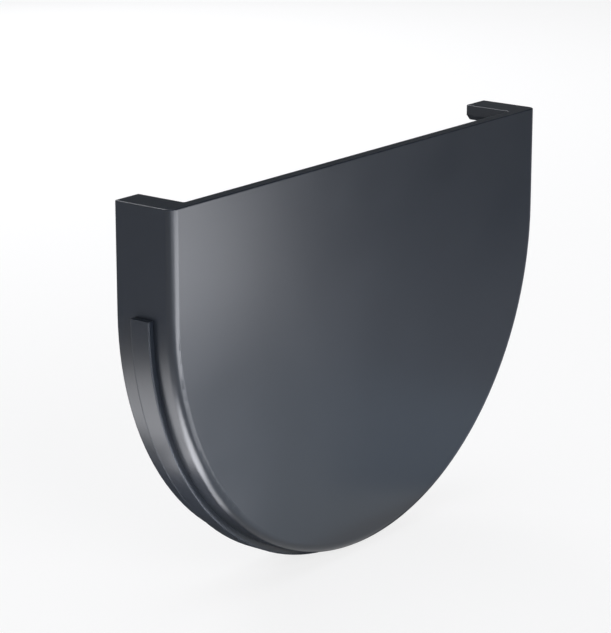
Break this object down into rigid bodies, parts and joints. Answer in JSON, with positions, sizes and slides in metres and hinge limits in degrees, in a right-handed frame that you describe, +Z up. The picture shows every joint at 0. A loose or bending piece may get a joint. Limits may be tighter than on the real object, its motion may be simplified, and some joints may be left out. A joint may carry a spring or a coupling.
{
  "type": "gutter end cap",
  "caption": "Half-round gutter end cap: flat end plate with a deep skirt, a raised seal band round its lower half and hooked flanges over the gutter's edges.",
  "frame": {"origin": "on the gutter's axis (the centre of the half-round), at the stop face inside the cap", "axes": "+X across the gutter, +Y along the gutter and out of the cap's open side, +Z up"},
  "size_m": [0.1276, 0.0143, 0.0863],
  "materials": {
    "graphite_upvc": "satin graphite-grey rigid PVC, coloured through, fine moulded grain"
  },
  "bodies": {
    "root": {"end_cap": "graphite_upvc"}
  },
  "joints": []
}
